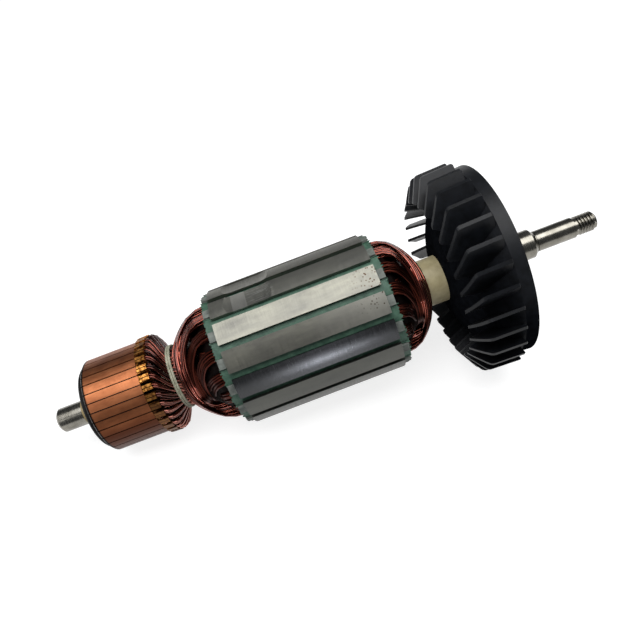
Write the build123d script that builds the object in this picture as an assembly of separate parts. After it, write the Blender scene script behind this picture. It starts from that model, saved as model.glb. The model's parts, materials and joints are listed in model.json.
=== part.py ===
from build123d import *
from math import acos, asin, atan2, cos, degrees, hypot, radians, sin, sqrt, tan
import os

# Motor armature for a large angle grinder. Millimetres.
# Everything is built along the X axis, with x = 0 at the commutator end of the shaft and the fan
# towards +X. The last step lays the finished armature down on the corner of its core and the
# corners of its fan blades, as it comes to rest on a bench.

# Shaft, from the commutator end to the threaded end
shaft_length = 229.5
rear_seat_radius = 5.0
commutator_seat_drop = 0.4
body_radius = 6.5
front_seat_radius = 6.0
front_seat_length = 13.0
front_seat_end = 202.1
seat_taper_length = 1.5
seat_taper_step = 0.3
relief_radius = 4.0
relief_length = 0.6
pinion_seat_radius = 4.3
pinion_seat_end = 220.6
thread_core_radius = 3.45
thread_run_in = 0.4
shaft_end_chamfer = 0.9

# Insulation round the shaft
bush_wall = 0.6
bush_start = 10.9
tube_radius = 9.6
tube_start = 46.5
press_gap = 0.02

# How far a cutting body reaches past what it cuts
overshoot = 1.0

# Commutator
bar_count = 32
bar_phase = -52.0
commutator_radius = 19.05
commutator_start = 18.6
commutator_length = 22.2
bar_gap = 0.4
bar_root_radius = 15.4
bar_neck_width = 1.3
bar_neck_depth = 0.8
bar_foot_width = 1.9
bar_foot_depth = 1.0
bar_front_chamfer = 0.5
mica_undercut = 0.45
hook_length = 4.3
hook_width = 2.3
hook_radius = 20.2
hook_thickness = 0.85
hook_wire_gap = 1.0
hook_root_overlap = 0.5
hook_rise = 0.15
collar_radius = 17.2
collar_length = 2.1
collar_chamfer = 0.6
hub_setback = 0.3

# Leads between the hooks and the windings, and the cord that ties them down
lead_pair_radius = 1.15
lead_skew = 24.0
lead_neck_radius = 11.7
lead_hook_radius = 19.4
lead_cone_wall = 1.6
lead_bed_drop = 0.6
lead_hook_drop = 0.2
lead_neck_drop = 0.55
lead_clearance = 0.15
cord_diameter = 1.15
cord_turns = 2
cord_place = 51.5
cord_squeeze = 0.03
cord_bed_gap = 0.05

# Core
slot_count = 16
tooth_phase = -42.33
core_radius = 28.0
core_start = 74.6
core_length = 62.5
slot_mouth = 2.5
tooth_tip_height = 1.3
tooth_shoulder_drop = 0.5
tooth_width = 4.5
slot_bottom_radius = 15.1
end_disc_thickness = 2.7
end_disc_radius = 27.1
end_disc_tooth_width = 3.9
end_disc_root_radius = 14.7

# Flats that a cutter left on two teeth when the armature was balanced
balance_teeth = 2
balance_start = 84.5
balance_length = 10.5
balance_depth = 0.75
balance_cutter_radius = 12.0

# Slot insulation
liner_wall = 0.3
liner_overhang = 3.4
wedge_thickness = 0.8
wedge_overhang = 3.3
slot_play = 0.06

# Windings: sixteen coils laid in pairs, each pair over the one before
coil_span = 7
winding_radius = 24.7
winding_neck_radius = 14.7
winding_depth_rear = 21.4
winding_depth_front = 18.6
winding_bulge = 3.6
first_layer_bulge = 0.2
winding_rim_depth = 1.9
layer_gap = 0.06
coil_parting_radius = 20.6
coil_parting_gap = 0.1
neck_play = 0.2
winding_liner_gap = 0.1
winding_rim_margin = 0.3

# Fan
blade_count = 30
blade_phase = -43.6
blade_tip_radius = 41.9
blade_corner_drop = 0.5
blade_corner_place = 166.4
blade_corner_round = 2.2
blade_nose_depth = 9.6
blade_nose_place = 161.0
blade_nose_round = 0.5
blade_foot_drop = 3.6
blade_end = 179.5
blade_thickness = 1.4
blade_sweep = 11.5
blade_bow = 1.1
blade_rim_stand = 3.3
fan_rim_start = 180.4
fan_end = 185.2
fan_rim_wall = 2.4
fan_rim_draft = 0.4
blade_rim_overlap = 1.0
fan_wall = 2.4
fan_hub_radius = 10.2
fan_hub_end = 188.0
fan_dish_margin = 5.4
fan_dish_centre_radius = 8.0
fan_hub_face_radius = 12.0
fan_tube_gap = 0.12

# The side that faces the viewer is turned so that the floor lies midway between two fan blades.
view_height = 52.4
view_turn = 180.0 - view_height

core_end = core_start + core_length
commutator_seat_radius = rear_seat_radius - commutator_seat_drop
bush_radius = commutator_seat_radius + bush_wall
blade_corner_radius = blade_tip_radius - blade_corner_drop
blade_nose_radius = blade_tip_radius - blade_nose_depth
fan_rim_radius = blade_tip_radius - blade_rim_stand
fan_dish_radius = fan_rim_radius - fan_dish_centre_radius + fan_dish_margin


def polar(radius, angle):
    """A point in the section plane: the angle in degrees from Y towards Z."""
    return (radius * cos(radians(angle)), radius * sin(radians(angle)))


def turned(outline):
    """A body of revolution from a closed outline of (place along the shaft, radius)."""
    return revolve(make_face(outline), Axis.X)


def extruded(section, start, end):
    """A section drawn in the YZ plane, extruded from start to end along the shaft."""
    return Pos(start, 0, 0) * extrude(section, end - start)


def closed(points):
    return Polyline(*points, close=True)


def around(body, angle):
    return Rot(X=angle) * body


# Shaft
def make_shaft():
    taper_end = front_seat_end + seat_taper_length
    relief_end = taper_end + relief_length
    front_seat_start = front_seat_end - front_seat_length
    outline = [
        (0, 0),
        (0, rear_seat_radius - shaft_end_chamfer),
        (shaft_end_chamfer, rear_seat_radius),
        (bush_start, rear_seat_radius),
        (bush_start, commutator_seat_radius),
        (tube_start, commutator_seat_radius),
        (tube_start, body_radius),
        (front_seat_start, body_radius),
        (front_seat_start, front_seat_radius),
        (front_seat_end, front_seat_radius),
        (taper_end, pinion_seat_radius + seat_taper_step),
        (taper_end, relief_radius),
        (relief_end, relief_radius),
        (relief_end, pinion_seat_radius),
        (pinion_seat_end - thread_run_in, pinion_seat_radius),
        (pinion_seat_end, thread_core_radius),
        (shaft_length - shaft_end_chamfer, thread_core_radius),
        (shaft_length, thread_core_radius - shaft_end_chamfer),
        (shaft_length, 0),
    ]
    return turned(closed(outline))


def ring(start, end, inner, outer):
    return turned(closed([(start, inner), (start, outer), (end, outer), (end, inner)]))


# Commutator
def bar_section(play):
    """Section of one bar across the shaft, its middle on the Y axis, grown by play all round."""
    half_pitch = 180.0 / bar_count
    outer = commutator_radius + play
    root = bar_root_radius - play
    outer_half = half_pitch - degrees(asin((bar_gap / 2 - play) / outer))
    root_half = half_pitch - degrees(asin((bar_gap / 2 - play) / root))
    neck = bar_neck_width / 2 + play
    foot = bar_foot_width / 2 + play
    neck_end = bar_root_radius - bar_neck_depth + play
    foot_end = neck_end - bar_foot_depth - 2 * play
    left = [polar(outer, outer_half), polar(root, root_half), (root, neck), (neck_end, neck),
            (neck_end, foot), (foot_end, foot)]
    right = [(across, -up) for across, up in reversed(left)]
    sides = Polyline(*left, *right)
    face = ThreePointArc(left[0], (outer, 0), right[-1])
    return make_face([sides, face])


def make_bar():
    end = commutator_start + commutator_length
    body = extruded(Plane.YZ * bar_section(0), commutator_start, end)
    corner = turned(closed([
        (commutator_start, commutator_radius - bar_front_chamfer),
        (commutator_start, commutator_radius + overshoot),
        (commutator_start + bar_front_chamfer, commutator_radius),
    ]))
    floor = hook_radius - hook_thickness - hook_wire_gap
    back = end + hook_length
    hook = make_face(closed([
        (end - hook_root_overlap, bar_root_radius),
        (back, bar_root_radius),
        (back, hook_radius),
        (end + hook_root_overlap, hook_radius - hook_rise),
        (end + hook_root_overlap, hook_radius - hook_thickness),
        (back - hook_thickness, hook_radius - hook_thickness),
        (back - hook_thickness, floor),
        (end - hook_root_overlap, floor),
    ]))
    tang = extrude(hook, hook_width / 2, both=True)
    return body - corner + tang


def make_commutator_moulding(bar_angles):
    end = commutator_start + commutator_length + hook_length - hub_setback
    start = commutator_start - collar_length
    bore = bush_radius + press_gap
    top = commutator_radius - mica_undercut
    body = ring(commutator_start, commutator_start + commutator_length, bore, top)
    pocket = extruded(Plane.YZ * bar_section(press_gap), commutator_start - overshoot, end + overshoot)
    body -= [around(pocket, angle) for angle in bar_angles]
    collar = turned(closed([
        (start, bore), (start, collar_radius - collar_chamfer), (start + collar_chamfer, collar_radius),
        (commutator_start - press_gap, collar_radius), (commutator_start - press_gap, bore),
    ]))
    hub = ring(start, end, bore, bar_root_radius - bar_neck_depth - bar_foot_depth - 4 * press_gap)
    return body + collar + hub


# Leads and tie cord
def make_leads(bar_angles):
    """The bundle of leads between the windings' neck and the hooks, one ridge for each bar's pair."""
    hook_back = commutator_start + commutator_length + hook_length
    neck_end = core_start - winding_depth_rear - lead_clearance
    cone_start = hook_back + lead_clearance
    cone_end = cord_place - cord_turns * cord_diameter / 2 - lead_clearance
    bed_radius = lead_hook_radius - lead_bed_drop
    inner = tube_radius + press_gap
    cone = turned(closed([
        (cone_start, bed_radius - lead_cone_wall),
        (cone_start, bed_radius),
        (cone_end, lead_neck_radius),
        (neck_end, lead_neck_radius),
        (neck_end, inner),
        (cone_end, inner),
    ]))
    ridges = []
    for angle in bar_angles:
        far = polar(lead_hook_radius - lead_hook_drop, angle)
        near = polar(lead_neck_radius - lead_neck_drop, angle + lead_skew)
        start = Vector(cone_start, far[0], far[1])
        end = Vector(cone_end + overshoot / 2, near[0], near[1])
        along = end - start
        wire = Cylinder(lead_pair_radius, along.length, align=(Align.CENTER, Align.CENTER, Align.MIN))
        ridges.append(Plane(origin=start, z_dir=along) * wire)
    keep = ring(cone_start, cone_end, inner, lead_hook_radius + lead_pair_radius)
    keep += ring(cone_end - lead_clearance, neck_end, inner, lead_neck_radius)
    return (cone + ridges) & keep


def make_cord():
    """Turns of round cord lying side by side round the neck of the leads."""
    radius = cord_diameter / 2
    first = cord_place - (cord_turns - 1) * radius
    middle = lead_neck_radius + cord_bed_gap + radius
    turn = Circle(radius + cord_squeeze)
    turns = [Pos(first + number * cord_diameter, middle, 0) * turn for number in range(cord_turns)]
    return revolve(turns[0] + turns[1:], Axis.X)


# Core and its insulation
def slot_side(radius, tooth):
    """Half the slot's width at a radius, between two teeth with parallel sides."""
    half_pitch = radians(180.0 / slot_count)
    return radius * tan(half_pitch) - tooth / 2 / cos(half_pitch)


def slot_body(bottom, top, inset, tooth=tooth_width):
    """Section of the wide part of a slot, its middle on the Y axis, drawn in by inset all round."""
    low = bottom + inset
    high = top - inset
    wide = slot_side(high, tooth) - inset
    narrow = slot_side(low, tooth) - inset
    return make_face(closed([(high, wide), (low, narrow), (low, -narrow), (high, -wide)]))


tooth_shoulder_radius = core_radius - tooth_tip_height
slot_top_radius = tooth_shoulder_radius - tooth_shoulder_drop
wedge_radius = slot_top_radius - liner_wall


def core_slot():
    wide = slot_side(slot_top_radius, tooth_width)
    narrow = slot_side(slot_bottom_radius, tooth_width)
    half = slot_mouth / 2
    outline = [
        (core_radius + overshoot, half), (tooth_shoulder_radius, half), (slot_top_radius, wide),
        (slot_bottom_radius, narrow), (slot_bottom_radius, -narrow), (slot_top_radius, -wide),
        (tooth_shoulder_radius, -half), (core_radius + overshoot, -half),
    ]
    return make_face(closed(outline))


def toothed_plate(radius, bore, slot, slot_angles, start, end):
    section = Circle(radius) - Circle(bore)
    section -= [Rot(Z=angle) * slot for angle in slot_angles]
    return extruded(Plane.YZ * section, start, end)


def balance_flat(angle):
    """The way of a disc cutter that ran a short stretch along one tooth."""
    centre = core_radius - balance_depth + balance_cutter_radius
    width = 2 * core_radius * sin(radians(180.0 / slot_count))
    plunge = Rot(X=90) * Cylinder(balance_cutter_radius, width)
    ends = [Pos(balance_start + along, 0, centre) * plunge for along in (0, balance_length)]
    run = Pos(balance_start + balance_length / 2, 0, centre)
    run *= Box(balance_length, width, 2 * balance_cutter_radius)
    return around(run + ends, angle - 90)


def end_disc_slot():
    top = core_radius + overshoot
    wide = slot_side(top, end_disc_tooth_width)
    narrow = slot_side(end_disc_root_radius, end_disc_tooth_width)
    return make_face(closed([(top, wide), (end_disc_root_radius, narrow),
                             (end_disc_root_radius, -narrow), (top, -wide)]))


def make_liner():
    outer = slot_body(slot_bottom_radius, slot_top_radius, slot_play)
    inner = slot_body(slot_bottom_radius, slot_top_radius + overshoot, slot_play + liner_wall)
    return extruded(Plane.YZ * (outer - inner), core_start - liner_overhang, core_end + liner_overhang)


def make_wedge():
    inset = 2 * slot_play + liner_wall
    section = slot_body(wedge_radius - wedge_thickness, wedge_radius + inset, inset)
    return extruded(Plane.YZ * section, core_start - wedge_overhang, core_end + wedge_overhang)


# Windings
def layer_edge(layer, side):
    """Outer face of a layer of end turns beyond one end of the core: three points of its arc."""
    layers = slot_count // 2
    share = layer / layers
    depth = winding_depth_rear if side < 0 else winding_depth_front
    first = liner_overhang + winding_liner_gap
    neck = first + share * (depth - first)
    rim = first + share * winding_rim_depth
    middle = (neck + rim) / 2 + first_layer_bulge + share * winding_bulge
    face = core_start if side < 0 else core_end
    middle_radius = (winding_radius + tube_radius) / 2
    points = [(neck, tube_radius), (middle, middle_radius), (rim, winding_radius + winding_rim_margin)]
    return [(face + side * depth_here, radius) for depth_here, radius in points]


def spindle(layer, trim):
    """All the room inside the outer faces of a layer at both ends, drawn in by trim."""
    rear = [(place + trim, radius) for place, radius in layer_edge(layer, -1)]
    front = [(place - trim, radius) for place, radius in layer_edge(layer, 1)]
    outline = [
        ThreePointArc(*rear),
        Line(rear[2], front[2]),
        ThreePointArc(*reversed(front)),
        Line(front[0], rear[0]),
    ]
    return turned(outline)


def straight_tongue(angle, leg_radius):
    """Plan of the way from a slot straight in to the neck."""
    half = slot_side(coil_parting_radius, tooth_width) / 2
    inner = tube_radius + neck_play
    return Rot(Z=angle) * make_face(closed([(leg_radius, half), (inner, half), (inner, -half),
                                            (leg_radius, -half)]))


def slanting_tongue(angle, leg_radius, ahead):
    """Plan of the way from a slot to the neck, running ahead round the shaft as the wires do."""
    half = slot_side(leg_radius, tooth_width) - 2 * slot_play - liner_wall
    lean = degrees(atan2(half, leg_radius))
    reach = hypot(half, leg_radius)
    tangent = lean + degrees(acos(winding_neck_radius / reach))
    points = [
        polar(reach, lean * ahead),
        polar(winding_neck_radius, tangent * ahead),
        polar(tube_radius + neck_play, tangent * ahead),
        polar(tube_radius + neck_play, 0),
        polar(reach, -lean * ahead),
    ]
    return Rot(Z=angle) * make_face(closed(points))


def neck_band(start, end):
    """Plan of the part of a coil that lies round the neck, from one angle to another."""
    inner = tube_radius + neck_play
    middle = (start + end) / 2
    outline = [
        ThreePointArc(polar(winding_neck_radius, start), polar(winding_neck_radius, middle),
                      polar(winding_neck_radius, end)),
        Line(polar(winding_neck_radius, end), polar(inner, end)),
        ThreePointArc(polar(inner, end), polar(inner, middle), polar(inner, start)),
        Line(polar(inner, start), polar(winding_neck_radius, start)),
    ]
    return make_face(outline)


def make_coil(pair, slot_angles):
    """One coil: two legs in their slots and a band of end turns over each end of the core."""
    last = slot_count // 2 - 1
    start_angle = slot_angles[pair]
    end_angle = start_angle + coil_span * 360.0 / slot_count
    inset = 2 * slot_play + liner_wall
    half_gap = coil_parting_gap / 2
    low_leg = slot_body(slot_bottom_radius, coil_parting_radius + inset - half_gap, inset)
    high_leg = slot_body(coil_parting_radius - inset + half_gap, winding_radius + inset, inset)
    start_high = pair == last
    end_high = pair > 0
    start_leg = high_leg if start_high else low_leg
    end_leg = high_leg if end_high else low_leg
    legs = Rot(Z=start_angle) * start_leg + Rot(Z=end_angle) * end_leg
    low_reach = coil_parting_radius - coil_parting_gap
    start_reach = winding_radius if start_high else low_reach
    end_reach = winding_radius if end_high else low_reach
    band = neck_band(start_angle, end_angle)
    if pair >= last - 1:
        band += slanting_tongue(start_angle, start_reach, 1)
    else:
        band += straight_tongue(start_angle, start_reach)
    if pair > 0:
        band += slanting_tongue(end_angle, end_reach, -1)
    else:
        band += straight_tongue(end_angle, end_reach)
    room = spindle(pair + 1, layer_gap)
    below = spindle(pair, 0)
    rear = core_start - winding_depth_rear - overshoot
    front = core_end + winding_depth_front + overshoot
    leg_bars = extruded(Plane.YZ * legs, rear, front) & room
    bands = (extruded(Plane.YZ * band, rear, front) & room) - below
    return leg_bars + bands


# Fan
def dish_place(radius, dish_radius):
    """Place along the shaft of the dish at a radius."""
    centre = fan_rim_start + sqrt(fan_dish_radius**2 - (fan_rim_radius - fan_dish_centre_radius)**2)
    return centre - sqrt(dish_radius**2 - (radius - fan_dish_centre_radius)**2)


def dish_arc(start, end, dish_radius):
    middle = (start + end) / 2
    return ThreePointArc(*[(dish_place(radius, dish_radius), radius) for radius in (start, middle, end)])


def make_fan_dish():
    inner_radius = fan_dish_radius - fan_wall
    rim_inner = fan_rim_radius - fan_rim_wall
    hub_face = dish_place(fan_hub_face_radius, fan_dish_radius)
    bore = body_radius + press_gap
    front_arc = dish_arc(fan_hub_face_radius, fan_rim_radius, fan_dish_radius)
    back_arc = dish_arc(rim_inner, fan_hub_radius, inner_radius)
    path = Polyline(
        (dish_place(fan_rim_radius, fan_dish_radius), fan_rim_radius),
        (fan_end, fan_rim_radius + fan_rim_draft),
        (fan_end, rim_inner),
        (dish_place(rim_inner, inner_radius), rim_inner),
    )
    hub = Polyline(
        (dish_place(fan_hub_radius, inner_radius), fan_hub_radius),
        (fan_hub_end, fan_hub_radius),
        (fan_hub_end, bore),
        (hub_face, bore),
        (hub_face, fan_hub_face_radius),
    )
    return turned([front_arc, path, back_arc, hub])


def blade_outline():
    """Corners of a blade's side view: foot by the hub, nose, corner, heel and foot by the rim."""
    foot_radius = fan_dish_radius - fan_wall / 2
    low = blade_nose_radius - blade_foot_drop
    high = fan_rim_radius - blade_rim_overlap
    return [
        (dish_place(low, foot_radius), low),
        (blade_nose_place, blade_nose_radius),
        (blade_corner_place, blade_corner_radius),
        (blade_end, blade_tip_radius),
        (blade_end, high),
        (dish_place(high, foot_radius), high),
    ]


def round_centre(before, corner, after, radius):
    """Centre of the round of that radius in a corner between two straight edges."""
    one = (Vector(*before) - Vector(*corner)).normalized()
    other = (Vector(*after) - Vector(*corner)).normalized()
    half = radians(one.get_angle(other)) / 2
    centre = Vector(*corner) + (one + other).normalized() * (radius / sin(half))
    return centre.X, centre.Y


def make_blade():
    """One swept blade, trimmed by the turned envelope of all the blades."""
    inner = blade_nose_radius - blade_foot_drop - overshoot
    outer = blade_tip_radius + overshoot
    rate = blade_sweep / (blade_tip_radius - blade_nose_radius)
    edges = []
    for side in (1, -1):
        points = []
        for radius in (outer, (outer + inner) / 2, inner):
            bow = blade_bow * (1 if inner < radius < outer else 0)
            turn = rate * (blade_tip_radius - radius) + degrees(side * blade_thickness / 2 / radius)
            points.append(polar(radius, turn - bow))
        edges.append(points)
    front, rear = edges
    faces = [ThreePointArc(*front), ThreePointArc(*reversed(rear))]
    ends = [Line(front[2], rear[2]), Line(rear[0], front[0])]
    section = make_face([faces[0], ends[0], faces[1], ends[1]])
    outline = blade_outline()
    sides = FilletPolyline(*outline[:5], radius=[blade_nose_round, blade_corner_round, blade_nose_round])
    foot = dish_arc(outline[5][1], outline[0][1], fan_dish_radius - fan_wall / 2)
    envelope = turned([sides, Line(outline[4], outline[5]), foot])
    return extruded(Plane.YZ * section, blade_nose_place - overshoot, blade_end + overshoot) & envelope


def make_fan():
    blade = make_blade()
    fan = make_fan_dish()
    pitch = 360.0 / blade_count
    first = view_turn + blade_phase
    return fan + [around(blade, first + number * pitch) for number in range(blade_count)]


# Assembly along the shaft
pieces = {}
tube_end = dish_place(fan_hub_face_radius, fan_dish_radius) - fan_tube_gap
bar_pitch = 360.0 / bar_count
bar_angles = [view_turn + bar_phase + (number + 0.5) * bar_pitch for number in range(bar_count)]
slot_pitch = 360.0 / slot_count
first_slot = view_turn + tooth_phase - slot_pitch * 1.5
slot_angles = [first_slot + (number - 7) * slot_pitch for number in range(slot_count)]

pieces["shaft"] = make_shaft()
pieces["commutator_bush"] = ring(bush_start, commutator_start + commutator_length + hook_length,
                                 commutator_seat_radius + press_gap, bush_radius)
pieces["commutator_moulding"] = make_commutator_moulding(bar_angles)
bar = make_bar()
for number, angle in enumerate(bar_angles, 1):
    pieces[f"commutator_bar_{number:02d}"] = around(bar, angle)
pieces["commutator_leads"] = make_leads(bar_angles)
pieces["tie_cord"] = make_cord()
pieces["insulating_tube"] = ring(tube_start, tube_end, body_radius + press_gap, tube_radius)

core_bore = tube_radius + press_gap
core = toothed_plate(core_radius, core_bore, core_slot(), slot_angles, core_start, core_end)
balanced = [view_turn + tooth_phase - number * slot_pitch for number in range(balance_teeth)]
pieces["core"] = core - [balance_flat(angle) for angle in balanced]
disc = toothed_plate(end_disc_radius, core_bore, end_disc_slot(), slot_angles,
                     core_start - end_disc_thickness, core_start)
pieces["end_disc_commutator_side"] = disc
pieces["end_disc_fan_side"] = Pos(core_length + end_disc_thickness, 0, 0) * disc
liner = make_liner()
pieces["slot_liners"] = Compound(children=[around(liner, angle) for angle in slot_angles])
wedge = make_wedge()
pieces["slot_wedges"] = Compound(children=[around(wedge, angle) for angle in slot_angles])

half_turn = slot_count // 2
for pair in range(half_turn):
    coil = make_coil(pair, slot_angles)
    pieces[f"coil_{pair + 1:02d}"] = coil
    pieces[f"coil_{pair + 1 + half_turn:02d}"] = around(coil, 180)
pieces["cooling_fan"] = make_fan()

# Laying down: the floor touches the core's rear edge and the rounded corners of the two lowest blades.
corner_place, corner_radius = round_centre(*blade_outline()[1:4], blade_corner_round)
spread = radians(180.0 / blade_count)
rise = corner_radius * cos(spread) - core_radius
run = corner_place - core_start
rest_tilt = degrees(atan2(rise, run) + asin(blade_corner_round / hypot(rise, run)))
lying = Rot(Y=-rest_tilt)
box = Compound(children=[lying * piece for piece in pieces.values()]).bounding_box()
lay_down = Pos(-box.center().X, -box.center().Y, -box.min.Z) * lying

os.makedirs("parts", exist_ok=True)
for name, piece in pieces.items():
    export_step(lay_down * piece, f"parts/{name}.step")

print("rest tilt", round(rest_tilt, 4), "shaft end at", lay_down.position)
print("size", box.size)
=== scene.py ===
# %% [markdown]
# # The wound armature of an angle grinder
#
# This lesson dresses a construction model of a motor armature: a steel shaft that carries a
# copper commutator, a slotted steel core wound with enamelled wire, and a black cooling fan.
# The construction model comes ready as one solid for each part, and it stays where it is. What
# it leaves plain is made here: the turns of wire, the leads, the frayed slot papers, the cord
# and the thread. Every finish is a node material, so nothing is read from an image.
#
# The first cell loads the model. Nothing made here may leave it.

# %% Load the construction model
import json
import random
from math import acos, atan2, cos, degrees, pi, radians, sin, sqrt, tan

import bpy
from mathutils import Matrix, Vector


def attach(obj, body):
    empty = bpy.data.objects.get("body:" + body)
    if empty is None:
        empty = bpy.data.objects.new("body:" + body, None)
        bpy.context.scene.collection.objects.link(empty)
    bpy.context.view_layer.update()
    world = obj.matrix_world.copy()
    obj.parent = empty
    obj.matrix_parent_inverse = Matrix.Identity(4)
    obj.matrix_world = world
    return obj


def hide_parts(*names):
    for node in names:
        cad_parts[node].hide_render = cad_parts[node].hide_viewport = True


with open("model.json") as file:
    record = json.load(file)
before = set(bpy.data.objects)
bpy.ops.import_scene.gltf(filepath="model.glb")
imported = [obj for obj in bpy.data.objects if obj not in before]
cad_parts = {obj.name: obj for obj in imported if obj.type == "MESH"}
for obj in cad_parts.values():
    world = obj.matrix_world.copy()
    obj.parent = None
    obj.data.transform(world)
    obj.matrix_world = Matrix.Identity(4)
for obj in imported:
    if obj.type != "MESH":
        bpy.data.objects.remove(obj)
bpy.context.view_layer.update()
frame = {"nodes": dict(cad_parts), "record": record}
nodes = frame["nodes"]

# %% [markdown]
# ## The shaft's own millimetres
#
# The armature lies tilted, on the edge of its core and on two fan blades, so the shaft isn't in
# line with the world's axes. A part that is wound or turned round the shaft is far easier to
# describe in the shaft's own measures: how far along, how far out, and how far round. The rear
# bearing seat in the model's record says where the shaft is and which way it points, and one
# matrix takes those millimetres to the world's metres.
#
# Angles are counted in degrees from the side that faces the viewer, and grow downwards there.

# %% Take measures along the shaft
MM = 1000
SEAT_MIDDLE = 5.9
VIEW_TURN = 127.6
mounts = {mount["name"]: mount for mount in frame["record"]["mounts"]}
seat = mounts["rear_bearing_seat"]
way = -Vector(seat["axis"]).normalized()
tilt = atan2(way.z, way.x)
shaft_start = Vector(seat["pos_m"]) - way * SEAT_MIDDLE / MM
lay = (Matrix.Translation(shaft_start) @ Matrix.Rotation(-tilt, 4, "Y")
       @ Matrix.Rotation(radians(VIEW_TURN), 4, "X") @ Matrix.Scale(1 / MM, 4))


def on_shaft(along, out, angle):
    """A point in the shaft's millimetres, at an angle in degrees from the viewer's side."""
    return Vector((along, out * cos(radians(angle)), out * sin(radians(angle))))


print("tilt", round(degrees(tilt), 3), "start", [round(value, 5) for value in shaft_start])

# %% [markdown]
# ## Small helpers
#
# Colours are written as the hex codes that a picture editor shows. Those are display values,
# while Blender's shaders work with linear light, so one function turns them. A second function
# adds any node to any tree. It takes the inputs by name, or in the order of their sockets, and
# an input may be a value, a socket or another node, which then gives its first output in use.
# A colour ramp takes its stops as pairs of a place and a hex code. A Map Range node's sockets
# are the value, the two places it is read between, and what it gives at each of them.

# %% Colours and nodes
def linear(code):
    """A hex colour code as the linear red, green, blue and alpha that shaders use."""
    parts = [int(code[place:place + 2], 16) / 255 for place in (1, 3, 5)]
    light = [part / 12.92 if part <= 0.04045 else ((part + 0.055) / 1.055) ** 2.4 for part in parts]
    return (*light, 1.0)


def add(tree, kind, inputs=(), stops=(), **settings):
    """Adds a node with its settings and links, and returns it."""
    made = tree.nodes.new(kind)
    for name, value in settings.items():
        setattr(made, name, value)
    for element, (position, code) in zip(made.color_ramp.elements if stops else (), stops):
        element.position, element.color = position, linear(code)
    for name, value in inputs.items() if isinstance(inputs, dict) else enumerate(inputs):
        if isinstance(value, bpy.types.Node):
            value = next(output for output in value.outputs if not output.is_unavailable)
        if isinstance(value, bpy.types.NodeSocket):
            tree.links.new(value, made.inputs[name])
        else:
            made.inputs[name].default_value = value
    return made


print("copper in linear light", [round(part, 3) for part in linear("#AB6C48")])

# %% [markdown]
# ## The camera
#
# The photograph looks down on the armature from about fifty degrees, square to the shaft, with
# the camera rolled so that the shaft climbs to the right. The lens follows from how much the
# near side of the fan is drawn larger than the far side.

# %% Place the camera
# Along the shaft to the point the camera is square to, and how far its aim lies below the axis.
PICTURE_PIXELS = 640
SENSOR_WIDTH = 36.0
FOCAL_PIXELS = 600.0
PIXELS_PER_MM = 2.475
FOOT_ALONG = 112.0
AXIS_BELOW = 1.17
ROLL = radians(20.75)
distance = FOCAL_PIXELS / PIXELS_PER_MM
level_up = on_shaft(0, -1, 90)
eye = lay @ (on_shaft(FOOT_ALONG, distance, 0) + level_up * AXIS_BELOW)
aim = lay @ (Vector((FOOT_ALONG, 0, 0)) + level_up * AXIS_BELOW)
up_level = (lay.to_3x3() @ level_up).normalized()
right = way * cos(ROLL) - up_level * sin(ROLL)
up = way * sin(ROLL) + up_level * cos(ROLL)
back = (eye - aim).normalized()
camera_data = bpy.data.cameras.new("camera")
camera_data.sensor_width = SENSOR_WIDTH
camera_data.lens = SENSOR_WIDTH * FOCAL_PIXELS / PICTURE_PIXELS
camera_data.clip_start = 0.01
camera = bpy.data.objects.new("camera", camera_data)
camera.matrix_world = Matrix((
    (right.x, up.x, back.x, eye.x),
    (right.y, up.y, back.y, eye.y),
    (right.z, up.z, back.z, eye.z),
    (0, 0, 0, 1),
))
bpy.context.scene.collection.objects.link(camera)
bpy.context.scene.camera = camera
bpy.context.scene.view_settings.view_transform = "Standard"
print("lens", round(camera_data.lens, 2), "distance in mm", round(distance, 1))

# %% [markdown]
# ## Lamps
#
# The photograph is a studio picture on white. Each cylinder shows one bright band a little above
# its middle and falls off to nearly black on both sides, so there is one long soft box straight
# overhead and little else. A small, slightly cool lamp low in front gives the glint on the tooth
# that is painted dark, and a weak square one on the left opens the commutator's end. The world is
# a dim cool grey, because ground metal shows whatever stands round it.

# %% Hang the lamps and dim the world
SKY_STRENGTH = 0.145
LAMP_TARGET = Vector((0, 0, 0.04))


def lamp(name, place, size, power, colour="#FFFFFF"):
    """A soft box with two sides in metres and a power in watts, turned to the armature."""
    data = bpy.data.lights.new(name, "AREA")
    data.shape = "RECTANGLE"
    data.size, data.size_y = size
    data.energy = power
    data.color = linear(colour)[:3]
    made = bpy.data.objects.new(name, data)
    made.location = place
    made.rotation_euler = (LAMP_TARGET - Vector(place)).to_track_quat("-Z", "Y").to_euler()
    bpy.context.scene.collection.objects.link(made)


lamp("overhead", (0.0, -0.01, 0.62), (0.95, 0.44), 6.1)
lamp("left_fill", (-0.60, -0.25, 0.35), (0.35, 0.35), 1.0)
lamp("front_glint", (-0.012, -0.60, 0.02), (0.06, 0.02), 0.20, "#F0F2FB")

world = bpy.data.worlds.new("studio")
bpy.context.scene.world = world
world.use_nodes = True
world.node_tree.nodes.clear()
sky = add(world.node_tree, "ShaderNodeBackground", (linear("#E8EEF4"), SKY_STRENGTH))
add(world.node_tree, "ShaderNodeOutputWorld", (sky,))
print("lamps", len(bpy.data.lights))

# %% [markdown]
# ## The paper
#
# The armature lies on white backdrop paper. A matt floor that is lit to white would throw so
# much light back up that the undersides turn pale. So the paper itself is a middle grey, and a
# glow that only the camera, reflections and see-through surfaces meet brings it up to white.
# The shadow stays on it, and the undersides stay as dark as they should be.

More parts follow.
